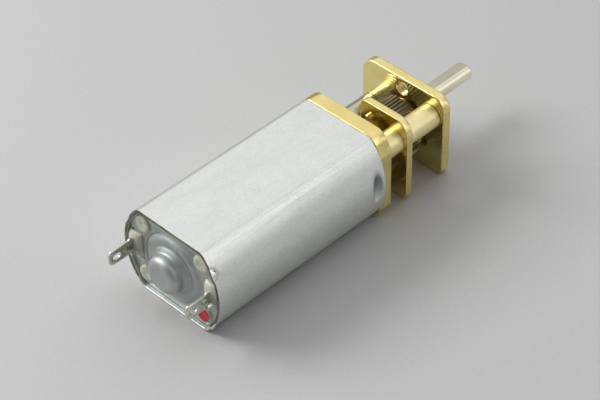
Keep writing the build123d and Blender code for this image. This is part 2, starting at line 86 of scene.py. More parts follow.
class Surface:
    """A Principled material and short calls for the nodes that feed it."""

    def __init__(self, name, **sockets):
        self.material = bpy.data.materials.new(name)
        self.material.use_nodes = True
        self.tree = self.material.node_tree
        self.tree.nodes.clear()
        self.shader = self.tree.nodes.new("ShaderNodeBsdfPrincipled")
        output = self.tree.nodes.new("ShaderNodeOutputMaterial")
        self.tree.links.new(self.shader.outputs[0], output.inputs[0])
        self.coordinates = self.tree.nodes.new("ShaderNodeTexCoord").outputs["Object"]
        for socket, value in sockets.items():
            self.shader.inputs[socket.replace("_", " ")].default_value = value

    def node(self, kind, **settings):
        made = self.tree.nodes.new(kind)
        for key, value in settings.items():
            setattr(made, key, value)
        return made

    def feed(self, socket, value):
        if isinstance(value, bpy.types.NodeSocket):
            self.tree.links.new(value, socket)
        else:
            socket.default_value = value

    def stretched(self, x, y, z):
        """Object coordinates in millimetres, times a scale along each axis."""
        mapping = self.node("ShaderNodeMapping")
        self.feed(mapping.inputs["Vector"], self.coordinates)
        mapping.inputs["Scale"].default_value = (x / MM, y / MM, z / MM)
        return mapping.outputs[0]

    def nearness(self, scale, centre, reach):
        """1 at a centre given in scaled millimetres, falling to 0 at the stated reach."""
        gap = self.node("ShaderNodeVectorMath", operation="DISTANCE")
        self.feed(gap.inputs[0], self.stretched(*scale))
        gap.inputs[1].default_value = centre
        share = self.maths("DIVIDE", gap.outputs["Value"], reach)
        return self.ramp(share, (0.35, 1.0), (1.0, 0.0))

    def noise(self, vector, detail=3.0, roughness=0.55, distortion=0.0):
        made = self.node("ShaderNodeTexNoise")
        self.feed(made.inputs["Vector"], vector)
        made.inputs["Scale"].default_value = 1.0
        made.inputs["Detail"].default_value = detail
        made.inputs["Roughness"].default_value = roughness
        made.inputs["Distortion"].default_value = distortion
        return made.outputs["Fac"]

    def ramp(self, fac, *stops):
        """Colours or grey levels at places from 0 to 1."""
        made = self.node("ShaderNodeValToRGB")
        self.feed(made.inputs["Fac"], fac)
        set_stops(made, stops)
        return made.outputs["Color"]

    def maths(self, operation, first, second=0.0):
        made = self.node("ShaderNodeMath", operation=operation)
        self.feed(made.inputs[0], first)
        self.feed(made.inputs[1], second)
        return made.outputs[0]

    def graded(self, pattern, share, base):
        """A pattern scaled down to a share and lifted to a base level."""
        made = self.maths("MULTIPLY_ADD", pattern, share)
        made.node.inputs[2].default_value = base
        return made

    def mix(self, fac, first, second):
        made = self.node("ShaderNodeMix", data_type="RGBA")
        self.feed(made.inputs["Factor"], fac)
        for socket, value in ((made.inputs[6], first), (made.inputs[7], second)):
            self.feed(socket, value if isinstance(value, bpy.types.NodeSocket) else (*value, 1))
        return made.outputs[2]

    def colour(self, value):
        self.feed(self.shader.inputs["Base Color"], value)

    def rough(self, value):
        self.feed(self.shader.inputs["Roughness"], value)

    def bumps(self, *layers):
        """Each layer is (height, depth in millimetres)."""
        normal = None
        for height, depth in layers:
            made = self.node("ShaderNodeBump")
            made.inputs["Strength"].default_value = 1.0
            made.inputs["Distance"].default_value = depth * MM
            self.feed(made.inputs["Height"], height)
            if normal is not None:
                self.feed(made.inputs["Normal"], normal)
            normal = made.outputs[0]
        self.feed(self.shader.inputs["Normal"], normal)


def metal(name, light, dark, rough, grain=(0.3, 6.0, 6.0), grain_depth=0.0012,
          tarnish=(0.35, 0.35, 0.35), marks=(0.5, 3.0, 3.0)):
    """A worked metal: slow tone changes, a directional grain, fine specks and sparse marks."""
    s = Surface(name, Metallic=1.0)
    cloud = s.noise(s.stretched(*tarnish), 4.0, 0.6, 0.4)
    speck = s.noise(s.stretched(9, 9, 9), 2.0, 0.7)
    lines = s.noise(s.stretched(*grain), 3.0, 0.6)
    streak = s.noise(s.stretched(*marks), 1.0, 0.4, 0.3)
    cut = s.ramp(streak, (0.63, 0.0), (0.66, 1.0), (0.69, 0.0))
    tone = s.ramp(cloud, (0.32, dark), (0.68, light))
    tone = s.mix(s.ramp(speck, (0.60, 0.0), (0.8, 0.22)), tone, dark)
    s.colour(s.mix(s.maths("MULTIPLY", cut, 0.15), tone, light))
    uneven = 0.14
    cloudy = s.graded(cloud, uneven, rough - uneven)
    s.rough(s.maths("ADD", cloudy, s.maths("MULTIPLY", lines, uneven)))
    s.bumps((lines, grain_depth), (speck, grain_depth * 0.1), (cut, -grain_depth * 0.1))
    return s.material


def can_steel():
    """Satin plated sheet: clouds, grit, drawing lines, scuffs at one crease and painted shade
    darkening the near dimple.
    """
    s = Surface("can_steel", Metallic=0.92)
    cloud = s.noise(s.stretched(0.10, 0.22, 0.22), 5.0, 0.6, 0.6)
    mottle = s.noise(s.stretched(0.9, 1.6, 1.6), 4.0, 0.65, 0.3)
    grit = s.noise(s.stretched(4.5, 4.5, 4.5), 3.0, 0.8)
    drawn = s.noise(s.stretched(0.05, 7.0, 7.0), 3.0, 0.65)
    marks = s.noise(s.stretched(0.06, 4.0, 4.0), 2.0, 0.5, 0.1)
    crease = s.nearness((0.0, 1.0, 1.0), (0.0, -5.6, 5.5), 1.6)
    scratch = s.maths("MULTIPLY", s.ramp(marks, (0.50, 0.0), (0.54, 1.0), (0.58, 0.0)), crease)
    # Painted shade: the near dimple's colour is darkened toward a dark grey, where the dent lies in
    # shade.
    squash = 0.42
    painted_dimple_shade = s.nearness((1.0, 1.0, squash), (DIMPLE_X, -7.6, squash * 0.9), 1.0)
    tone = s.ramp(cloud, (0.30, (0.79, 0.815, 0.785)), (0.70, (0.86, 0.885, 0.85)))
    tone = s.mix(s.ramp(mottle, (0.45, 0.0), (0.75, 0.35)), tone, (0.68, 0.705, 0.68))
    tone = s.mix(s.ramp(grit, (0.50, 0.0), (0.68, 0.5)), tone, (0.54, 0.565, 0.545))
    tone = s.mix(s.maths("MULTIPLY", scratch, 0.35), tone, (0.46, 0.47, 0.45))
    # Mixes in the painted shade of the near dimple.
    s.colour(s.mix(s.maths("MULTIPLY", painted_dimple_shade, 0.9), tone, (0.13, 0.145, 0.15)))
    s.rough(s.maths("ADD", s.graded(mottle, 0.12, 0.29), s.maths("MULTIPLY", drawn, 0.07)))
    s.bumps((grit, 0.0022), (drawn, 0.0014), (scratch, -0.006))
    return s.material


def end_plate_steel():
    """Dull grey sheet, a little darker in its grit."""
    s = Surface("end_plate_steel", Metallic=0.9)
    cloud = s.noise(s.stretched(0.5, 0.5, 0.5), 5.0, 0.6, 0.4)
    grit = s.noise(s.stretched(12, 12, 12), 3.0, 0.7)
    tone = s.ramp(cloud, (0.30, (0.38, 0.42, 0.41)), (0.72, (0.52, 0.56, 0.545)))
    s.colour(s.mix(s.ramp(grit, (0.5, 0.0), (0.8, 0.5)), tone, (0.27, 0.295, 0.29)))
    s.rough(s.graded(grit, 0.2, 0.43))
    s.bumps((grit, 0.003), (cloud, 0.004))
    return s.material


def nylon():
    """Milky moulded plastic that lets some light in."""
    s = Surface("nylon", Subsurface_Weight=0.75, Subsurface_Scale=1.2 * MM)
    s.shader.inputs["Subsurface Radius"].default_value = (1.0, 0.9, 0.55)
    s.shader.inputs["Coat Weight"].default_value = 0.15
    s.shader.inputs["Coat Roughness"].default_value = 0.25
    cloud = s.noise(s.stretched(0.5, 0.7, 0.9), 3.0, 0.5, 0.3)
    grain = s.noise(s.stretched(9, 9, 9), 2.0, 0.6)
    s.colour(s.ramp(cloud, (0.3, (0.42, 0.42, 0.29)), (0.7, (0.62, 0.63, 0.53))))
    s.rough(s.graded(grain, 0.2, 0.30))
    s.bumps((grain, 0.005), (cloud, 0.04))
    return s.material


def paint():
    """Thick red paint that pooled unevenly."""
    s = Surface("red_paint", Metallic=0.0)
    s.shader.inputs["Coat Weight"].default_value = 0.12
    s.shader.inputs["Coat Roughness"].default_value = 0.3
    pool = s.noise(s.stretched(1.3, 1.3, 1.3), 3.0, 0.5, 0.4)
    fine = s.noise(s.stretched(8, 8, 8), 2.0, 0.6)
    s.colour(s.ramp(pool, (0.3, (0.50, 0.006, 0.010)), (0.7, (0.78, 0.018, 0.022))))
    s.rough(s.graded(fine, 0.2, 0.3))
    s.bumps((pool, 0.03), (fine, 0.006))
    return s.material


def matt(name, scale, fineness, dark, light, base, depth, top=0.75, share=0.2):
    """A matt surface in two tones of one fine grit."""
    s = Surface(name, Metallic=0.0)
    grit = s.noise(s.stretched(scale, scale, scale), 4.0, fineness)
    s.colour(s.ramp(grit, (0.3, dark), (top, light)))
    s.rough(s.graded(grit, share, base))
    s.bumps((grit, depth))
    return s.material


BRASS_LIGHT = (0.94, 0.80, 0.37)
BRASS_DARK = (0.86, 0.70, 0.27)
TURNED = (8.0, 0.5, 0.5)     # grain in rings about X
MATERIALS = {
    "can_steel": can_steel(),
    "end_plate_steel": end_plate_steel(),
    "nylon": nylon(),
    "tinned_terminal": metal("tinned_terminal", (0.80, 0.785, 0.71), (0.56, 0.54, 0.47), 0.26,
                             grain=(0.6, 5.0, 5.0), tarnish=(0.9, 0.9, 0.9)),
    "brush_bronze": metal("brush_bronze", (0.74, 0.50, 0.28), (0.50, 0.31, 0.15), 0.34),
    "sintered_bronze": metal("sintered_bronze", (0.40, 0.32, 0.20), (0.24, 0.19, 0.11), 0.50,
                             grain=(7, 7, 7), grain_depth=0.006),
    "ferrite": matt("ferrite", 5, 0.7, (0.015, 0.015, 0.016), (0.05, 0.05, 0.052), 0.5, 0.02),
    "core_steel": metal("core_steel", (0.48, 0.49, 0.50), (0.30, 0.30, 0.31), 0.4,
                        grain=(9.0, 0.4, 0.4), grain_depth=0.006),
    "copper_wire": metal("copper_wire", (0.80, 0.38, 0.18), (0.52, 0.20, 0.08), 0.32,
                         grain=(0.4, 8, 8), grain_depth=0.01),
    "commutator_copper": metal("commutator_copper", (0.84, 0.50, 0.32), (0.5, 0.27, 0.16), 0.25,
                               grain=TURNED),
    "moulding": matt("moulding", 4, 0.6, (0.03, 0.02, 0.014), (0.075, 0.05, 0.035), 0.35, 0.01),
    "rotor_steel": metal("rotor_steel", (0.74, 0.74, 0.73), (0.52, 0.52, 0.51), 0.24, grain=TURNED),
    "plate_brass": metal("plate_brass", BRASS_LIGHT, BRASS_DARK, 0.30,
                         grain=(3.0, 0.35, 7.0), grain_depth=0.0003, tarnish=(0.25, 0.30, 0.30)),
    "post_brass": metal("post_brass", (0.95, 0.84, 0.50), (0.88, 0.74, 0.36), 0.42, grain=TURNED),
    # Partly painted reflection: the long steel post is tinted grey-yellow to stand for the brass
    # plates' reflection in it.
    "post_steel": metal("post_steel", (0.74, 0.70, 0.56), (0.54, 0.50, 0.38), 0.30, grain=TURNED),
    "screw_steel": metal("screw_steel", (0.70, 0.69, 0.66), (0.44, 0.43, 0.41), 0.32,
                         grain=(6, 1.2, 1.2)),
    "gear_steel": metal("gear_steel", (0.33, 0.31, 0.23), (0.24, 0.22, 0.16), 0.50,
                        grain=(0.8, 5, 5), grain_depth=0.004),
    "gear_brass": metal("gear_brass", (0.80, 0.63, 0.28), (0.55, 0.40, 0.15), 0.32,
                        grain=(0.8, 5, 5)),
    # Partly painted reflection: the shaft's steel is tinted warm cream to stand for a warm
    # reflection along its near side.
    "shaft_steel": metal("shaft_steel", (0.98, 0.93, 0.74), (0.90, 0.85, 0.66), 0.30, grain=TURNED,
                         grain_depth=0.0001),
    "washer_steel": metal("washer_steel", (0.68, 0.68, 0.66), (0.46, 0.46, 0.45), 0.34),
}
# The sheet's real dark cut edge; it is used only on the upper rim, where it also serves as painted
# shade.
CUT_EDGE_AND_SHADE = metal("cut_edge_and_shade", (0.26, 0.24, 0.20), (0.10, 0.09, 0.075), 0.45, grain=(2, 8, 8))
COPPER_END = metal("copper_end", (0.95, 0.70, 0.42), (0.80, 0.54, 0.28), 0.30, grain=TURNED)
PLATE_FACE = metal("plate_face", (0.84, 0.72, 0.32), (0.74, 0.61, 0.23), 0.17,
                   grain=(7.0, 0.3, 7.0), grain_depth=0.0003, tarnish=(0.2, 0.25, 0.25))
CRIMP_STEEL = metal("crimp_steel", (0.90, 0.91, 0.89), (0.70, 0.71, 0.70), 0.22, grain=(5, 5, 5))
RED_PAINT = paint()


# ---------------------------------------------------------------- mesh tools

WELD = 1e-7     # metres


def finish_mesh(name, mesh, body, slot, replaced=(), sharp=40.0, material=None):
    """Turns a mesh in metres into a named piece that rides on a body."""
    mesh.materials.clear()
    mesh.materials.append(material or MATERIALS[slot])
    mesh.polygons.foreach_set("use_smooth", [True] * len(mesh.polygons))
    mesh.set_sharp_from_angle(angle=radians(sharp))
    piece = bpy.data.objects.new(name, mesh)
    bpy.context.scene.collection.objects.link(piece)
    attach(piece, body)
    if replaced:
        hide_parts(*replaced)
    return piece


def mesh_of(points, faces):
    """A mesh from places in millimetres."""
    mesh = bpy.data.meshes.new("mesh")
    mesh.from_pydata([tuple(c * MM for c in p) for p in points], [], faces)
    mesh.validate()
    return tidy_normals(mesh)


def tidy_normals(mesh):
    """Welds points that touch and turns every face outward."""
    work = bmesh.new()
    work.from_mesh(mesh)
    bmesh.ops.remove_doubles(work, verts=work.verts, dist=WELD)
    bmesh.ops.recalc_face_normals(work, faces=work.faces)
    work.to_mesh(mesh)
    work.free()
    return mesh


def joined(meshes):
    """One mesh from several."""
    work = bmesh.new()
    for mesh in meshes:
        work.from_mesh(mesh)
    result = bpy.data.meshes.new("joined")
    work.to_mesh(result)
    work.free()
    return result


def grid(rows, around=True, cap_first=False, cap_last=False):
    """A skin through rows of points; around closes each row into a ring."""
    count = len(rows[0])
    points = [p for row in rows for p in row]
    steps = count if around else count - 1
    faces = []
    for i in range(len(rows) - 1):
        for j in range(steps):
            k = (j + 1) % count
            faces.append((i * count + j, i * count + k, (i + 1) * count + k, (i + 1) * count + j))
    if cap_first:
        faces.append(tuple(reversed(range(count))))
    if cap_last:
        faces.append(tuple((len(rows) - 1) * count + j for j in range(count)))
    return mesh_of(points, faces)


def ring(x, centre, count, radius_at):
    """Points round a line along X; radius_at gives the radius at an angle."""
    angles = [2 * pi * k / count for k in range(count)]
    return [(x, centre[0] + radius_at(a) * cos(a), centre[1] + radius_at(a) * sin(a))
            for a in angles]


def lathe(profile, centre=(0.0, 0.0), segments=96, cap_last=False):
    """A turned shape about a line along X; the profile is (x, radius) pairs."""
    rows = [ring(x, centre, segments, lambda a, r=radius: r) for x, radius in profile]
    return grid(rows, cap_last=cap_last)


def rounded(profile, radius, steps=4):
    """The same open (x, r) profile with its inner corners rounded."""
    made = [profile[0]]
    for before, corner, after in zip(profile, profile[1:], profile[2:]):
        c = Vector(corner)
        a, b = Vector(before) - c, Vector(after) - c
        reach = min(radius, a.length * 0.45, b.length * 0.45)
        start, end = c + a.normalized() * reach, c + b.normalized() * reach
        for k in range(steps + 1):
            t = k / steps
            p = start * (1 - t) ** 2 + c * 2 * t * (1 - t) + end * t ** 2
            made.append((p.x, p.y))
    made.append(profile[-1])
    return made


def circle_loop(centre, radius, count=64):
    return [(centre[0] + radius * cos(2 * pi * k / count),
             centre[1] + radius * sin(2 * pi * k / count)) for k in range(count)]


def area_of(loop):
    """Positive for a loop that runs anticlockwise."""
    return sum(a[0] * b[1] - b[0] * a[1] for a, b in zip(loop, loop[1:] + loop[:1])) / 2


def wound(loop, ccw):
    """The loop, reversed if it does not already run the wanted way."""
    return loop if (area_of(loop) > 0) == ccw else loop[::-1]


def shrunk(loop, distance):
    """Every point moved into the material: inward on an outline, outward on a hole's loop."""
    made = []
    count = len(loop)
    for i in range(count):
        before, here, after = (Vector(loop[(i + k) % count]) for k in (-1, 0, 1))
        d1, d2 = (here - before).normalized(), (after - here).normalized()
        n1, n2 = Vector((d1.y, -d1.x)), Vector((d2.y, -d2.x))
        n = (n1 + n2).normalized()
        made.append(tuple(here - n * (distance / max(n.dot(n1), 0.5))))
    return made


def round_corners(points, radii, steps=8):
    """A closed loop with each corner turned into an arc-like curve."""
    made = []
    count = len(points)
    for i, radius in enumerate(radii):
        c = Vector(points[i])
        a, b = Vector(points[i - 1]) - c, Vector(points[(i + 1) % count]) - c
        if radius <= 0:
            made.append(tuple(c))
            continue
        half = a.angle(b) / 2
        reach = radius / max(sin(half) / cos(half), 1e-6)
        start, end = c + a.normalized() * reach, c + b.normalized() * reach
        centre = c + (a.normalized() + b.normalized()).normalized() * (radius / sin(half))
        first = atan2(*(start - centre).yx)
        turn = (atan2(*(end - centre).yx) - first + pi) % (2 * pi) - pi
        made += [(centre.x + radius * cos(first + turn * k / steps),
                  centre.y + radius * sin(first + turn * k / steps)) for k in range(steps + 1)]
    return made


AXIAL = Matrix(((0, 0, 1), (1, 0, 0), (0, 1, 0)))      # local x, y, z -> Y, Z, X
UPRIGHT = Matrix(((1, 0, 0), (0, 0, -1), (0, 1, 0)))   # local x, y, z -> X, Z, -Y


def plate(outline, holes, low, high, edge, turn=AXIAL, steps=2):
    """A flat piece with holes and softly broken edges, from low to high along its thickness."""
    curve = bpy.data.curves.new("plate", "CURVE")
    curve.dimensions = "2D"
    curve.fill_mode = "BOTH"
    curve.extrude = ((high - low) / 2 - edge) * MM
    curve.bevel_depth = edge * MM
    curve.bevel_resolution = steps
    loops = [shrunk(wound(outline, True), edge)] + [shrunk(wound(h, False), edge) for h in holes]
    for loop in loops:
        spline = curve.splines.new("POLY")
        spline.points.add(len(loop) - 1)
        for point, (x, y) in zip(spline.points, loop):
            point.co = (x * MM, y * MM, 0, 1)
        spline.use_cyclic_u = True
    holder = bpy.data.objects.new("plate", curve)
    bpy.context.scene.collection.objects.link(holder)
    bpy.context.view_layer.update()
    graph = bpy.context.evaluated_depsgraph_get()
    mesh = bpy.data.meshes.new_from_object(holder.evaluated_get(graph))
    bpy.data.objects.remove(holder)
    middle = (low + high) / 2 * MM
    mesh.transform(turn.to_4x4() @ Matrix.Translation((0, 0, middle)))
    return tidy_normals(mesh)


def flat_shaded(piece):
    """Keeps broad faces flat where their edges are rounded."""
    weights = piece.modifiers.new("weights", "WEIGHTED_NORMAL")
    weights.keep_sharp = True
    weights.weight = 100
    return piece


# ---------------------------------------------------------------- motor can

CAN_LOW, CAN_HIGH = place_mm("motor_can")
CAN_REAR = CAN_LOW.x
CAN_HALF_WIDTH, CAN_HALF_HEIGHT = CAN_HIGH.y, CAN_HIGH.z
CAN_WALL = 0.35
CREASE = 1.2
FLAT_HALF = 5.2
SAGITTA = CAN_HALF_WIDTH - FLAT_HALF
SIDE_RADIUS = (CAN_HALF_HEIGHT ** 2 + SAGITTA ** 2) / (2 * SAGITTA)
SIDE_CENTRE = CAN_HALF_WIDTH - SIDE_RADIUS
CREASE_Z = CAN_HALF_HEIGHT - CREASE
CREASE_Y = SIDE_CENTRE + sqrt((SIDE_RADIUS - CREASE) ** 2 - CREASE_Z ** 2)
CREASE_ANGLE = degrees(atan2(CREASE_Z, CREASE_Y - SIDE_CENTRE))


def spread(start, end, count):
    """Even steps from start, stopping one short of end."""
    return [start + (end - start) * k / count for k in range(count)]


def can_ring():
    """Samples round the can: (centre y, centre z, radius, angle of the outward normal)."""
    quarter = [(SIDE_CENTRE, 0.0, SIDE_RADIUS, a) for a in spread(0, CREASE_ANGLE, 34)]
    quarter += [(CREASE_Y, CREASE_Z, CREASE, a) for a in spread(CREASE_ANGLE, 90, 10)]
    quarter += [(y, 0.0, CAN_HALF_HEIGHT, 90.0) for y in spread(CREASE_Y, 0, 14)]
    mirrored = [(0.0, 0.0, CAN_HALF_HEIGHT, 90.0)] + quarter[:0:-1]
    upper = quarter + [(-y, z, r, 180 - a) for y, z, r, a in mirrored]
    lower = [(-y, -z, r, a + 180) for y, z, r, a in upper]
    return upper + lower


RING = can_ring()


def section(inset):
    """The can's outline, drawn in by an inset."""
    return [(cy + (r - inset) * cos(radians(a)), cz + (r - inset) * sin(radians(a)))
            for cy, cz, r, a in RING]


CAN_EDGE = 0.2
CUT_RIM = 0.06               # how much of the rim shows the bare cut edge
CUT_EDGE_SHADE_LOWEST = -0.78       # and how far down the can, as a share of its half height; the dark edge is painted only above this as painted shade, and the lit lower rim keeps the can's lighter colour
CRIMPS = [(-6.72, 3.55, 0.50, 0.85), (6.8, 3.6, 0.34, 0.7),      # y, z, height, half width
          (-6.30, -4.5, 0.36, 0.7), (6.5, -4.2, 0.36, 0.7)]
CRIMP_DENT = 0.12
CRIMP_REACH = 1.25
CRIMP_LENGTH = 0.8
DIMPLE_Z = 0.35
DIMPLE_HALF_LENGTH = 0.78
DIMPLE_HALF_HEIGHT = 1.9
DIMPLE_DEPTH = 0.62
DIMPLE_BEAD = 0.03
SIDE_WALL_Y = 6              # only the side walls carry dimples
BOX_GUARD = 0.3              # this close to the can's box the wall only shifts inward


def can_shift(x, y, z):
    """How far the wall stands out from its nominal place: crimp dents, dimples, waviness."""
    out = 0.0
    for cy, cz, _, half_width in CRIMPS:
        reach = hypot(hypot(y - cy, z - cz) / half_width, (x - CAN_REAR) / CRIMP_LENGTH)
        if reach < CRIMP_REACH:
            out -= CRIMP_DENT * (1 - reach / CRIMP_REACH) ** 0.5
    if abs(y) > SIDE_WALL_Y:
        bowl = 1 - ((x - DIMPLE_X) / DIMPLE_HALF_LENGTH) ** 2
        bowl -= ((z - DIMPLE_Z) / DIMPLE_HALF_HEIGHT) ** 2
        if bowl > 0:
            out -= DIMPLE_DEPTH * bowl ** 0.75
        elif bowl > -0.5:
            out += DIMPLE_BEAD * sin(-2 * pi * bowl)
    out += 0.012 * sin(0.42 * x + 0.9) * sin(0.55 * y + 0.4)
    return out + 0.008 * sin(0.9 * x) * cos(0.8 * y + z)


def can_rows():
    """(x, inset) from deep inside the open rear, round the rim and forward to the front face."""
    wall = CAN_WALL
    rear = [(CAN_REAR + d, wall) for d in (2.2, 1.1, 0.75, 0.5, 0.35, 0.2, 0.08)]
    rim = [(CAN_REAR + 0.02, wall - 0.02), (CAN_REAR, wall - 0.05), (CAN_REAR, 0.17)]
    rim += [(CAN_REAR + 0.01, 0.05), (CAN_REAR + 0.03, 0.015), (CAN_REAR + 0.07, 0.0)]
    behind = (0.14, 0.22, 0.3, 0.4, 0.5, 0.6, 0.7, 0.8, 0.9, 1.0, 1.15, 1.4)
    near = [(CAN_REAR + d, 0.0) for d in behind]
    middle = [(x, 0.0) for x in spread(CAN_REAR + 2, DIMPLE_X - 1.1, 26)]
    dimple = [(x, 0.0) for x in spread(DIMPLE_X - 1.1, CAN_FRONT - CAN_EDGE, 26)]
    front = [(CAN_FRONT - CAN_EDGE * (1 - sin(a)), CAN_EDGE * (1 - cos(a)))
             for a in spread(0, pi / 2, 8)]
    front += [(CAN_FRONT, CAN_EDGE), (CAN_FRONT, 0.9)]
    return rear + rim + near + middle + dimple + front


def build_can():
    """The shell, from the rows along X and the section round it, with its shifts."""
    rows = []
    for x, inset in can_rows():
        row = []
        for (y, z), (_, _, _, angle) in zip(section(inset), RING):
            shift = can_shift(x, y, z)
            if abs(z) > CAN_HALF_HEIGHT - BOX_GUARD or abs(y) > CAN_HALF_WIDTH - BOX_GUARD:
                shift = min(shift, 0.0)
            row.append((x, y + shift * cos(radians(angle)), z + shift * sin(radians(angle))))
        rows.append(row)
    rows.append([(CAN_FRONT, y * 0.5, z * 0.5) for _, y, z in rows[-1]])
    shell = grid(rows)
    piece = finish_mesh("can_shell", shell, "housing", "can_steel", ["motor_can"], sharp=50)
    piece.data.materials.append(CUT_EDGE_AND_SHADE)
    # Partly painted shade: the dark cut edge goes only on the upper rim, while the lower rim, lit
    # from above, keeps the can's lighter colour.
    for face in piece.data.polygons:
        upper = face.center.z > CUT_EDGE_SHADE_LOWEST * CAN_HALF_HEIGHT * MM
        if upper and face.center.x < (CAN_REAR + CUT_RIM) * MM:
            face.material_index = 1
    return piece


def crimp(place, height, half_width):
    """A punched half-round lip that bulges out of the wall at the open rim."""
    toward = hypot(*place)
    normal = (place[0] / toward, place[1] / toward)
    tangent = (-normal[1], normal[0])
    steps, around = 10, 40
    sunk, clear, middle, squeeze = 0.08, 0.02, 0.10, 0.9
    rows = []
    for i in range(steps + 1):
        share = pi / 2 * i / steps
        r = half_width * sin(share)
        lift = height * cos(share) ** 0.8 - sunk
        row = []
        for k in range(around):
            a = 2 * pi * k / around
            x = max(CAN_REAR + clear, CAN_REAR + middle + squeeze * r * cos(a))
            along = r * sin(a)
            row.append((x, place[0] + normal[0] * lift + tangent[0] * along,
                        place[1] + normal[1] * lift + tangent[1] * along))
        rows.append(row)
    return grid(rows)


def build_crimps():
    lips = joined([crimp((y, z), height, width) for y, z, height, width in CRIMPS])
    return finish_mesh("rim_crimps", lips, "housing", "can_steel", sharp=30, material=CRIMP_STEEL)


# ---------------------------------------------------------------- motor rear end

END_REAR = place_mm("end_plate")[0].x
PLATE_REAR = CAN_REAR + 0.5
PLATE_FRONT = PLATE_REAR + 0.8
STAKES = [(y, z) for y in (-4.75, 4.75) for z in (-3.8, 3.8)]
FIT = 0.05                   # the end plate's and holder's clearance in the can
WINDOW_INNER = 5.05
WINDOW_HALF = 2.0
WINDOW_GAP = 2.6             # the outline's jump over a window stays inside this height
RING_RADIUS = 4.6
STAKE_HOLE = 0.72
HOLDER_BORE = 2.1
HOLDER_THICK = 1.4
# Ring, boss and head steps: (offset along X from their plane, radius).
RING_STEPS = [(0.4, 4.62), (0.05, 4.58), (0.02, 4.46), (-0.06, 4.32), (-0.18, 4.18),
              (-0.30, 4.0), (-0.37, 3.78), (-0.38, 3.5), (-0.33, 3.25), (-0.33, 3.12),
              (-0.40, 3.0), (-0.54, 2.86), (-0.66, 2.7), (-0.78, 2.54), (-0.95, 2.46)]
BOSS_STEPS = [(0.80, 2.44), (0.55, 2.38), (0.32, 2.25), (0.14, 2.04), (0.03, 1.76), (0.0, 1.45),
              (0.0, 1.32), (0.03, 1.22), (0.03, 0.8), (0.02, 0.02)]
HEAD_STEPS = [(0.05, 1.16), (-0.10, 1.17), (-0.22, 1.11), (-0.31, 0.92), (-0.33, 0.72),
              (-0.29, 0.48), (-0.235, 0.25), (-0.22, 0.03)]
# Paint steps: (height over the end plate, toward -X, and radius).
PAINT_STEPS = [(0.27, 1.0), (0.33, 0.97), (0.36, 0.88), (0.365, 0.7), (0.33, 0.45), (0.29, 0.2),
               (0.28, 0.03)]


def window_outline():
    """The end plate's outline, with its two side windows as notches."""
    outline = section(CAN_WALL + FIT)
    kept = [(y, z) for y, z in outline if abs(y) <= WINDOW_INNER or abs(z) >= WINDOW_HALF]
    notch = [(5.35, 2.0), (5.12, 1.92), (WINDOW_INNER, 1.7)]
    made = []
    for (y, z), (next_y, next_z) in zip(kept, kept[1:] + kept[:1]):
        made.append((y, z))
        if y * next_y > 0 and z * next_z < 0 and max(abs(z), abs(next_z)) < WINDOW_GAP:
            side = 1 if y > 0 else -1
            first = 1 if z > 0 else -1
            made += [(side * ny, first * nz) for ny, nz in notch]
            made += [(side * ny, -first * nz) for ny, nz in reversed(notch)]
    return made


def build_end_plate():
    holes = [circle_loop((0, 0), RING_RADIUS, 96)]
    holes += [circle_loop(place, STAKE_HOLE, 32) for place in STAKES]
    sheet = plate(window_outline(), holes, PLATE_REAR, PLATE_FRONT, 0.05)
    profile = [(PLATE_REAR + d, r) for d, r in RING_STEPS]
    profile += [(END_REAR + d, r) for d, r in BOSS_STEPS]
    cup = lathe(rounded(profile, 0.1, 3), segments=128, cap_last=True)
    made = joined([sheet, cup])
    return finish_mesh("end_cap", made, "housing", "end_plate_steel", ["end_plate"], sharp=35)


def bulge(side):
    """The moulded nylon that stands up through a side window, with a step below the terminal."""
    across, upward = 26, 34
    inner, half_height = 5.1, 1.93
    crown, sunk = 0.78, 0.12
    step, drop, run = -0.42, 0.24, 0.10
    rows = []
    for i in range(upward + 1):
        v = -1 + 2 * i / upward
        z = half_height * v
        outer = SIDE_CENTRE + sqrt((SIDE_RADIUS - CAN_WALL - 0.03) ** 2 - z * z)
        row = [(PLATE_FRONT, side * inner, z)]
        for j in range(across + 1):
            u = -1 + 2 * j / across
            y = inner + (outer - inner) * j / across
            dome = max(0.0, 1 - abs(u) ** 2.5) ** 0.5 * max(0.0, 1 - abs(v) ** 4) ** 0.5
            height = crown * dome - sunk
            if v < step:
                height -= drop * min(1.0, (step - v) / run)
            row.append((PLATE_REAR - height, side * y, z))
        row.append((PLATE_FRONT, side * outer, z))
        rows.append(row)
    return grid(rows, around=False)


def stake_head(place, wobble):
    """A heat-formed rivet head: a low ring round a dished centre, a little out of round."""
    def out_of_round(a):
        return 1 + 0.03 * sin(2 * a + wobble) + 0.02 * sin(3 * a - wobble)
    rows = [ring(PLATE_REAR + d, place, 48, lambda a, r=radius: r * out_of_round(a))
            for d, radius in HEAD_STEPS]
    return grid(rows, cap_last=True)


def build_holder():
    disc = plate(section(CAN_WALL + FIT), [circle_loop((0, 0), HOLDER_BORE)], PLATE_FRONT,
                 PLATE_FRONT + HOLDER_THICK, 0.05)
    heads = [stake_head(place, 1.7 * k) for k, place in enumerate(STAKES)]
    made = joined([disc, bulge(1), bulge(-1)] + heads)
    return finish_mesh("holder_moulding", made, "housing", "nylon", ["brush_holder"], sharp=45)


def build_paint():
    """A dab of paint that lies over one rivet head and stops short of its near edge."""
    y, z = STAKES[0]
    rows = [ring(PLATE_REAR - lift, (y + 0.02, z - 0.04), 48,
                 lambda a, r=share: r * (1 + 0.05 * sin(a + 0.5) + 0.04 * sin(3 * a)))
            for lift, share in PAINT_STEPS]
    return finish_mesh("red_dab", grid(rows, cap_last=True), "housing", "nylon", sharp=60,
                       material=RED_PAINT)


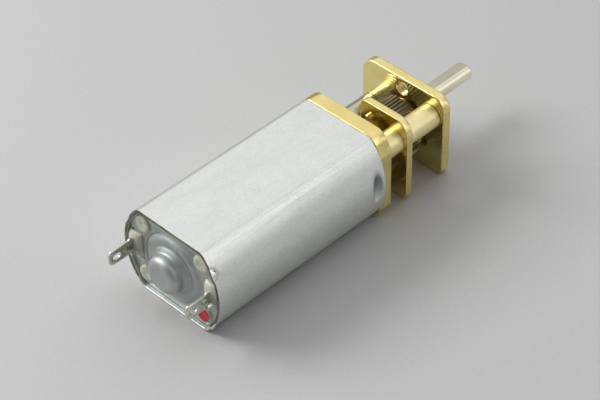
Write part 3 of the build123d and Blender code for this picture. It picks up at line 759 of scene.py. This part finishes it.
BLADE_Y = 6.3
BLADE_HALF_THICK = 0.15
BLADE_HOLE = (-41.85, -0.08, 1.2, 0.8)       # x, z, length, width
BLADE_SHOULDER = [(-39.75, 1.12), (-40.05, 1.0)]     # x, z of a small hump by the rim
TAB_X = -39.95


def blade_outline():
    tip = place_mm("terminal_left")[0].x
    root = CAN_REAR + 0.9
    points = [(tip, 0.60), (tip, -0.62), (tip + 0.38, -1.0), (root, -1.0), (root, 1.0),
              *BLADE_SHOULDER, (tip + 0.36, 1.0)]
    return round_corners(points, [0.14, 0.14, 0.2, 0, 0, 0.1, 0.3, 0.2], 5)


def slot_loop(x, z, length, width, count=10):
    """A slot with half-round ends, as a loop."""
    made = []
    for centre, start in ((x + (length - width) / 2, -90), (x - (length - width) / 2, 90)):
        for k in range(count + 1):
            a = radians(start + 180 * k / count)
            made.append((centre + width / 2 * cos(a), z + width / 2 * sin(a)))
    return made


def curl(x, y, z, radius, width, thick, start, end):
    """A narrow strip bent to an arc about a line along X."""
    steps = 16
    inner, outer = radius - thick / 2, radius + thick / 2
    left, right = x - width / 2, x + width / 2
    rows = []
    for k in range(steps + 1):
        a = radians(start + (end - start) * k / steps)
        places = ((inner, left), (outer, left), (outer, right), (inner, right))
        rows.append([(px, y + r * cos(a), z + r * sin(a)) for r, px in places])
    return grid(rows, cap_first=True, cap_last=True)


def build_terminal(name, side, node):
    y = side * BLADE_Y
    sheet = plate(blade_outline(), [slot_loop(*BLADE_HOLE)], -y - BLADE_HALF_THICK,
                  -y + BLADE_HALF_THICK, 0.06, turn=UPRIGHT)
    tab = curl(TAB_X, y - 0.42, -0.45, radius=0.32, width=0.62, thick=0.16, start=-20, end=215)
    made = joined([sheet, tab])
    piece = finish_mesh(name, made, "housing", "tinned_terminal", [node], sharp=40)
    return flat_shaded(piece)


# ---------------------------------------------------------------- gearbox

NEAR_POST = (-4.64, 2.4)
FAR_POST = (4.85, -1.3)
SMALL_PIN = (-0.6, 3.7)
POST_RADIUS = 1.6
SCREW_HOLE = 1.42
MOTOR_SCREW_Z = 4.2
MOTOR_SCREW_HOLE = 1.38
REAR_BORE = 1.6
JOURNAL_HOLE = 0.77
IDLER_HOLE = 1.35
MOUNT_HOLE_Z = 4.0
MOUNT_HOLE_ROOT = 0.96
BUSH_RADIUS = 2.0


def polished(piece):
    """Gives a plate's broad faces their own polish, apart from its machined edges."""
    piece.data.materials.append(PLATE_FACE)
    for face in piece.data.polygons:
        if abs(face.normal.x) > 0.95:
            face.material_index = 1
    return flat_shaded(piece)


def build_rear_plate():
    low, high = place_mm("rear_plate")
    points = [(high.y, -4.6), (high.y, 3.8), (high.y - 1.25, 6.0), (1.25 - high.y, 6.0),
              (-high.y, 3.8), (-high.y, -4.6), (1.15 - high.y, -6.0), (high.y - 1.15, -6.0)]
    outline = round_corners(points, [1.2, 2.0, 2.0, 2.0, 2.0, 1.2, 1.2, 1.2], 10)
    holes = [circle_loop((0, 0), REAR_BORE)]
    holes += [circle_loop((0, z), MOTOR_SCREW_HOLE) for z in (MOTOR_SCREW_Z, -MOTOR_SCREW_Z)]
    made = plate(outline, holes, low.x, high.x, 0.07)
    return polished(finish_mesh("plate_rear", made, "housing", "plate_brass", ["rear_plate"],
                                sharp=50))


def idler_place():
    low, high = place_mm("idler_pin")
    return ((low.y + high.y) / 2, (low.z + high.z) / 2)


def build_middle_plate():
    low, high = place_mm("middle_plate")
    points = [(low.y, low.z), (2.4, low.z), (2.4, 1.5), (0.85, 2.6), (0.85, high.z),
              (low.y, high.z)]
    outline = round_corners(points, [1.2, 0.3, 0.3, 0.3, 0.8, 2.1], 10)
    holes = [circle_loop((0, 0), JOURNAL_HOLE, 48), circle_loop(idler_place(), IDLER_HOLE)]
    made = plate(outline, holes, low.x, high.x, 0.12)
    return polished(finish_mesh("plate_middle", made, "housing", "plate_brass", ["middle_plate"],
                                sharp=50))


def build_front_plate():
    low, high = place_mm("front_plate")
    points = [(high.y, low.z), (high.y, high.z), (low.y, high.z), (low.y, low.z)]
    outline = round_corners(points, [1.0, 1.9, 1.9, 1.0], 12)
    holes = [circle_loop((0, 0), BUSH_RADIUS)]
    holes += [circle_loop((0, z), MOUNT_HOLE_ROOT, 48) for z in (MOUNT_HOLE_Z, -MOUNT_HOLE_Z)]
    holes += [circle_loop(place, SCREW_HOLE) for place in (NEAR_POST, FAR_POST)]
    made = plate(outline, holes, low.x, high.x, 0.2, steps=3)
    return polished(finish_mesh("plate_front", made, "housing", "plate_brass", ["front_plate"],
                                sharp=50))


def thread(centre, start, end, pitch=0.4, crest=0.80, root=0.965):
    """The inside of a tapped hole: a V groove wound along it, opening out at both ends."""
    per_turn, around, mouth_depth = 10, 48, 0.18
    steps = int((end - start) / pitch * per_turn)
    rows = []
    for i in range(steps + 1):
        x = start + (end - start) * i / steps
        mouth = max(0.0, mouth_depth - min(x - start, end - x)) / mouth_depth

        def radius_at(a):
            phase = ((x - start) / pitch + a / (2 * pi)) % 1.0
            r = crest + (root - crest) * min(1.0, abs(2 * phase - 1) * 1.15)
            return r + (root - r) * mouth
        rows.append(ring(x, centre, around, radius_at))
    return grid(rows)


def build_threads():
    low, high = place_mm("front_plate")
    made = joined([thread((0, z), low.x + 0.03, high.x - 0.03)
                   for z in (-MOUNT_HOLE_Z, MOUNT_HOLE_Z)])
    return finish_mesh("tapped_holes", made, "housing", "plate_brass", sharp=30)


def turned(start, end, radius, bore=0.0, edge=0.07):
    """The profile of a turned bar or sleeve with broken edges."""
    return ([(start, bore), (start, radius - edge), (start + edge, radius)]
            + [(x, radius) for x in spread(start + edge, end - edge, 8)[1:]]
            + [(end - edge, radius), (end, radius - edge), (end, bore)])


def build_turned(name, slot, node, place, start, end, radius, bore=0.0, body="housing",
                 edge=0.07, material=None):
    profile = turned(start, end, radius, max(bore, 0.01), edge)
    if bore:
        profile.append(profile[0])
    made = lathe(profile, place, 72)
    return finish_mesh(name, made, body, slot, [node], sharp=30, material=material)


def half_disc(centre, radius, half_slot, angle, side, count=28):
    """A disc's part on one side of a slot, as a loop."""
    first = asin(half_slot / radius)
    made = []
    for k in range(count + 1):
        a = first + (pi - 2 * first) * k / count
        y, z = radius * cos(a), radius * sin(a) * side
        made.append((centre[0] + y * cos(angle) - z * sin(angle),
                     centre[1] + y * sin(angle) + z * cos(angle)))
    return made


def screw(face, centre, angle, head=1.36):
    """A slotted countersunk head, flush with its plate, on a plain shank."""
    half_slot, shank, length = 0.18, 0.78, 4
    under_x = face - 0.34
    halves = [plate(half_disc(centre, head, half_slot, angle, side), [], under_x, face - 0.02, 0.05)
              for side in (-1, 1)]
    under = lathe([(face - length, 0.01), (face - length, shank), (face - 0.75, shank),
                   (under_x, head - 0.3), (under_x + 0.01, head - 0.02), (under_x + 0.01, 0.01)],
                  centre, 48)
    return joined(halves + [under])


def build_screws():
    face = place_mm("front_plate")[1].x
    made = joined([screw(face, NEAR_POST, 0.6), screw(face, FAR_POST, 2.1)])
    flat_shaded(finish_mesh("front_screws", made, "housing", "screw_steel", ["assembly_screws"],
                            sharp=35))
    face = place_mm("rear_plate")[1].x
    made = joined([screw(face, (0, z), turn, 1.34)
                   for z, turn in ((-MOTOR_SCREW_Z, 0.3), (MOTOR_SCREW_Z, 1.2))])
    flat_shaded(finish_mesh("can_screws", made, "housing", "screw_steel", ["motor_screws"],
                            sharp=35))


SHAFT_RADIUS = 1.25
RELIEF_RADIUS = 1.08
JOURNAL_RADIUS = 0.75
JOURNAL_END = -6.6
SHAFT_BORE = SHAFT_RADIUS + 0.02
FLAT_LEVEL = SHAFT_RADIUS - 0.33
FLAT_ANGLE = radians(75)     # the flat's normal, from +Y toward +Z
ROUND = 9.0                  # a level that leaves the section round


def shaft_stations(rear, tip):
    """(x, radius, flat level) along the shaft: journal, seat, turned relief and flatted nose."""
    big, small, neck = SHAFT_RADIUS, JOURNAL_RADIUS, RELIEF_RADIUS
    plain = [(rear, 0.01), (rear, small - 0.05), (rear + 0.05, small), (JOURNAL_END, small),
             (JOURNAL_END, big - 0.06), (JOURNAL_END + 0.06, big), (0.04, big), (0.1, big - 0.06),
             (0.14, neck + 0.02), (0.2, neck), (0.5, neck), (0.56, neck + 0.02), (0.6, big - 0.06)]
    made = [(x, radius, ROUND) for x, radius in plain] + [(0.64, big, FLAT_LEVEL)]
    made += [(x, big, FLAT_LEVEL) for x in spread(0.9, tip - 0.3, 24)]
    made += [(tip - 0.27, big, FLAT_LEVEL), (tip - 0.2, big - 0.04, FLAT_LEVEL),
             (tip - 0.03, big - 0.21, FLAT_LEVEL), (tip, big - 0.28, FLAT_LEVEL - 0.03),
             (tip, 0.01, ROUND)]
    return made


def build_shaft():
    low, high = place_mm("output_shaft")
    rows = []
    for x, radius, level in shaft_stations(low.x, high.x):
        def radius_at(a):
            facing = cos(a - FLAT_ANGLE)
            return min(radius, level / facing) if facing > 0.05 else radius
        rows.append(ring(x, (0, 0), 144, radius_at))
    return finish_mesh("drive_shaft", grid(rows, cap_first=True, cap_last=True), "output",
                       "shaft_steel", ["output_shaft"], sharp=25)


def build_gearbox():
    rear_face = place_mm("rear_plate")[1].x
    mid_low, mid_high = place_mm("middle_plate")
    front_rear = place_mm("front_plate")[0].x
    build_rear_plate()
    build_middle_plate()
    build_front_plate()
    build_threads()
    build_turned("post_short", "post_brass", "short_post", NEAR_POST, rear_face, mid_low.x,
                 POST_RADIUS)
    build_turned("post_upper", "post_brass", "upper_post", NEAR_POST, mid_high.x, front_rear,
                 POST_RADIUS)
    build_turned("post_long", "post_steel", "long_post", FAR_POST, rear_face, front_rear,
                 POST_RADIUS)
    build_turned("pin_small", "post_brass", "small_pin", SMALL_PIN, mid_low.x - 0.45,
                 mid_high.x + 0.1, 0.42, edge=0.14, material=COPPER_END)
    build_turned("pin_idler", "rotor_steel", "idler_pin", idler_place(), rear_face - 1.5, -0.4, 0.4)
    build_turned("bush_front", "sintered_bronze", "front_bush", (0, 0), front_rear - 0.3, 0.0,
                 BUSH_RADIUS, SHAFT_BORE)
    build_turned("washer_output", "washer_steel", "output_washer", (0, 0), front_rear - 0.57,
                 front_rear - 0.33, BUSH_RADIUS, SHAFT_BORE, body="output")
    build_screws()
    build_shaft()


# ---------------------------------------------------------------- camera and light

CAMERA_PLACE = (-0.14862, -0.13135, 0.16224)
CAMERA_RIGHT = Vector((0.70143, -0.71256, -0.01557))
CAMERA_UP = Vector((0.48290, 0.45906, 0.74570))
CAMERA_BACK = Vector((-0.52421, -0.53058, 0.66610))


def placed(thing, place, right, up, back):
    """Puts a camera or a light in the scene, looking against its back direction."""
    turn = Matrix((right, up, back)).transposed().to_4x4()
    thing.matrix_world = Matrix.Translation(place) @ turn
    bpy.context.scene.collection.objects.link(thing)
    return thing


def build_camera():
    data = bpy.data.cameras.new("camera")
    data.sensor_width = 36.0
    data.lens = 126.45
    data.clip_start = 0.01
    data.clip_end = 10.0
    camera = bpy.data.objects.new("camera", data)
    placed(camera, CAMERA_PLACE, CAMERA_RIGHT, CAMERA_UP, CAMERA_BACK)
    bpy.context.scene.camera = camera


def panel(name, size, power):
    data = bpy.data.lights.new(name, "AREA")
    data.shape = "RECTANGLE"
    data.size, data.size_y = size
    data.energy = power
    return bpy.data.objects.new(name, data)


def area_light(name, place, aim, size, power, colour):
    light = panel(name, size, power)
    light.data.color = colour
    light.location = place
    light.rotation_euler = (Vector(aim) - Vector(place)).to_track_quat("-Z", "Y").to_euler()
    bpy.context.scene.collection.objects.link(light)


PANEL_Y = -0.15
PANEL_CLEAR = 0.004


def side_panel(name, low, high, size, power, side):
    """A soft panel in an upright plane, against one side of the line from low to high (x, z)."""
    along = Vector((high[0] - low[0], 0, high[1] - low[1])).normalized()
    inward = side * Vector((along.z, 0, -along.x))
    centre = Vector((low[0], PANEL_Y, low[1])) + along * (size[1] / 2 + PANEL_CLEAR)
    back = Vector((0, -1, 0))
    light = placed(panel(name, size, power), centre + inward * (size[0] / 2), along.cross(back),
                   along, back)
    light.visible_diffuse = False       # it shapes the reflections and leaves the floor alone


WORLD_STRENGTH = 0.92
DOME = ((0.40, 0.40, 0.82), [(0.0, 0.05), (0.46, 0.10), (0.62, 0.18), (0.74, 0.28), (0.81, 0.52),
                             (0.865, 0.92), (0.92, 1.0)])
HORIZON = ((0.0, 0.0, 1.0), [(0.0, 0.30), (0.62, 0.30), (0.67, 0.42), (0.74, 0.95), (0.80, 1.0)])
REAR_GLOW = ((-0.83, 0.50, 0.25), [(0.0, 0.0), (0.88, 0.0), (0.96, 0.55), (1.0, 0.65)])


def sky_patch(tree, direction, axis, stops):
    """Brightness by the angle between a direction and an axis: 0 is opposite, 1 is along it."""
    dot = tree.nodes.new("ShaderNodeVectorMath")
    dot.operation = "DOT_PRODUCT"
    dot.inputs[1].default_value = Vector(axis).normalized()
    share = tree.nodes.new("ShaderNodeMath")
    share.operation = "MULTIPLY_ADD"
    share.inputs[1].default_value = 0.5
    share.inputs[2].default_value = 0.5
    ramp = tree.nodes.new("ShaderNodeValToRGB")
    tree.links.new(direction, dot.inputs[0])
    tree.links.new(dot.outputs["Value"], share.inputs[0])
    tree.links.new(share.outputs[0], ramp.inputs[0])
    set_stops(ramp, stops)
    return ramp.outputs[0]


def sky_mix(tree, blend, first, second):
    made = tree.nodes.new("ShaderNodeMix")
    made.data_type = "RGBA"
    made.blend_type = blend
    made.inputs["Factor"].default_value = 1.0
    tree.links.new(first, made.inputs[6])
    tree.links.new(second, made.inputs[7])
    return made.outputs[2]


def build_world():
    """A studio dome: bright overhead toward the shaft, dark at the horizon, a glow at the rear."""
    world = bpy.data.worlds.new("studio")
    world.use_nodes = True
    tree = world.node_tree
    tree.nodes.clear()
    output = tree.nodes.new("ShaderNodeOutputWorld")
    background = tree.nodes.new("ShaderNodeBackground")
    background.inputs["Strength"].default_value = WORLD_STRENGTH
    direction = tree.nodes.new("ShaderNodeTexCoord").outputs["Generated"]
    dome, horizon, glow = (sky_patch(tree, direction, *patch)
                           for patch in (DOME, HORIZON, REAR_GLOW))
    sky = sky_mix(tree, "LIGHTEN", sky_mix(tree, "MULTIPLY", dome, horizon), glow)
    tree.links.new(sky, background.inputs[0])
    tree.links.new(background.outputs[0], output.inputs[0])
    bpy.context.scene.world = world


def build_stage():
    half = 900
    corners = [(-half, -half, 0), (half, -half, 0), (half, half, 0), (-half, half, 0)]
    ground = mesh_of(corners, [(0, 1, 2, 3)])
    ground.materials.append(matt("floor", 2, 0.6, (0.56, 0.565, 0.565), (0.595, 0.595, 0.595), 0.6,
                                 0.01, top=0.7, share=0.1))
    ground.transform(Matrix.Translation((0, 0, CAD_BOX[0].z)))
    floor = bpy.data.objects.new("floor", ground)
    bpy.context.scene.collection.objects.link(floor)
    area_light("key", (-0.20, 0.34, 0.27), (-0.02, 0, 0), (0.26, 0.20), 1.6, (1.0, 1.0, 0.985))
    side_panel("rear_panel", (0.0415, 0.0), (0.1160, 0.138), (0.20, 0.26), 0.20, -1)
    side_panel("front_panel", (0.104, 0.0), (0.104, 0.130), (0.09, 0.12), 0.040, 1)


def dress_nodes():
    """Gives every CAD node its slot's material; those without a piece of their own show it."""
    slots = {part["node"]: part["material_slot"] for part in frame["record"]["subparts"]}
    for node, thing in frame["nodes"].items():
        thing.data.materials.clear()
        thing.data.materials.append(MATERIALS[slots[node]])


dress_nodes()
build_can()
build_crimps()
build_end_plate()
build_holder()
build_paint()
build_terminal("blade_left", 1, "terminal_left")
build_terminal("blade_right", -1, "terminal_right")
build_gearbox()
build_camera()
build_world()
build_stage()
bpy.context.scene.view_settings.view_transform = "Standard"
